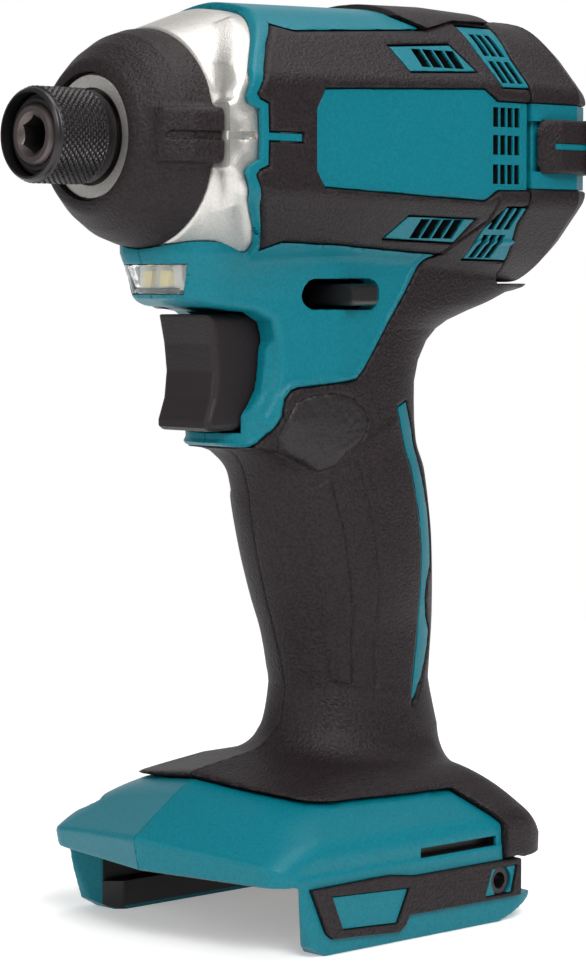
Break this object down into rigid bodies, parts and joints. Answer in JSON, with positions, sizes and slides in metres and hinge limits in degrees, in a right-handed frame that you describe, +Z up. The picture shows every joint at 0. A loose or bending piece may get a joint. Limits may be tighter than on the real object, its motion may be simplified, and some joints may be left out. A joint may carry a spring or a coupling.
{
  "type": "cordless impact driver",
  "caption": "Pistol-grip cordless impact driver without battery: short round head, sprung hex bit sleeve, impact mechanism, geared motor, trigger, direction lever, lamp and open battery foot.",
  "frame": {"origin": "middle of the bounding box in plan, on the surface that the base stands on", "axes": "+X out of the bit holder, +Y to the tool's left, +Z up"},
  "size_m": [0.137, 0.073, 0.1915],
  "materials": {
    "body_plastic": "satin moulded nylon",
    "elastomer": "fine-grained soft skin",
    "cast_alloy": "blasted die casting",
    "dark_steel": "dark phosphated",
    "steel": "ground",
    "laminated_steel": "rolled sheet",
    "magnet": "sintered",
    "copper": "enamelled wire and copper bars",
    "bush_bronze": "turned",
    "inner_plastic": "moulded",
    "carbon": "pressed",
    "lens": "clear",
    "board": "printed board",
    "lamp": "diode",
    "lead": "insulation"
  },
  "bodies": {
    "body": {"housing_left": "body_plastic", "housing_right": "body_plastic", "grip_left": "elastomer", "grip_right": "elastomer", "side_panel_left": "elastomer", "side_panel_right": "elastomer", "base_strip_left": "elastomer", "base_strip_right": "elastomer", "rear_cover": "body_plastic", "rear_bumper": "elastomer", "hammer_case": "cast_alloy", "case_bumper": "elastomer", "anvil_bush": "bush_bronze", "ring_gear": "steel", "gear_housing": "inner_plastic", "spindle_bearing": "steel", "stator_can": "laminated_steel", "stator_magnets": "magnet", "brush_holder": "inner_plastic", "carbon_brushes": "carbon", "rotor_front_bearing": "steel", "rotor_rear_bearing": "steel", "switch_body": "inner_plastic", "trigger_spring": "steel", "led_lens": "lens", "led_board": "board", "led_chips": "lamp", "terminal_block": "inner_plastic", "terminal_contacts": "bush_bronze", "hook_nuts": "bush_bronze", "housing_screws": "dark_steel", "rear_cover_screws": "dark_steel", "motor_leads": "lead", "battery_leads": "lead", "led_lead": "lead"},
    "spindle": {"spindle": "steel", "planet_pins": "steel", "cam_balls": "steel", "spring_washer": "steel", "main_spring": "steel"},
    "hammer": {"hammer": "steel"},
    "planet_1": {"planet_gear_1": "steel"},
    "planet_2": {"planet_gear_2": "steel"},
    "rotor": {"rotor_shaft": "steel", "rotor_core": "laminated_steel", "rotor_winding": "copper", "commutator": "copper", "cooling_fan": "inner_plastic", "pinion_gear": "steel"},
    "anvil": {"anvil": "dark_steel", "detent_balls": "steel", "sleeve_washer": "dark_steel", "snap_ring": "dark_steel", "sleeve_spring": "steel"},
    "sleeve": {"bit_sleeve": "dark_steel"},
    "trigger": {"trigger": "inner_plastic"},
    "lever": {"direction_lever": "inner_plastic"}
  },
  "joints": [
    {"name": "spindle_turn", "type": "hinge", "parent": "body", "child": "spindle", "pos_m": [0.005, 0, 0.16], "axis": [1, 0, 0], "continuous": true},
    {"name": "rotor_turn", "type": "hinge", "parent": "body", "child": "rotor", "pos_m": [-0.03, 0, 0.16], "axis": [1, 0, 0], "continuous": true},
    {"name": "planet_1_turn", "type": "hinge", "parent": "spindle", "child": "planet_1", "pos_m": [0.002, 0.012, 0.16], "axis": [1, 0, 0], "continuous": true},
    {"name": "planet_2_turn", "type": "hinge", "parent": "spindle", "child": "planet_2", "pos_m": [0.002, -0.012, 0.16], "axis": [1, 0, 0], "continuous": true},
    {"name": "anvil_turn", "type": "hinge", "parent": "body", "child": "anvil", "pos_m": [0.046, 0, 0.16], "axis": [1, 0, 0], "continuous": true},
    {"name": "hammer_slide", "type": "slide", "parent": "spindle", "child": "hammer", "axis": [-1, 0, 0], "range_m": [0, 0.0059], "stiffness_N_per_m": 6000, "springref_m": -0.01, "deforming": ["main_spring"]},
    {"name": "sleeve_slide", "type": "slide", "parent": "anvil", "child": "sleeve", "axis": [1, 0, 0], "range_m": [0, 0.0036], "stiffness_N_per_m": 1200, "springref_m": -0.005, "deforming": ["sleeve_spring"]},
    {"name": "trigger_slide", "type": "slide", "parent": "body", "child": "trigger", "axis": [-1, 0, 0], "range_m": [0, 0.0065], "stiffness_N_per_m": 900, "springref_m": -0.004, "deforming": ["trigger_spring"]},
    {"name": "lever_swing", "type": "hinge", "parent": "body", "child": "lever", "pos_m": [-0.02, 0, 0.1292], "axis": [0, 0, 1], "range_deg": [-16, 0]}
  ],
  "couplings": [
    {"joint": "rotor_turn", "follows": "spindle_turn", "ratio": 5.3333},
    {"joint": "planet_1_turn", "follows": "spindle_turn", "ratio": -2.6},
    {"joint": "planet_2_turn", "follows": "spindle_turn", "ratio": -2.6},
    {"joint": "anvil_turn", "follows": "spindle_turn", "ratio": 1}
  ]
}
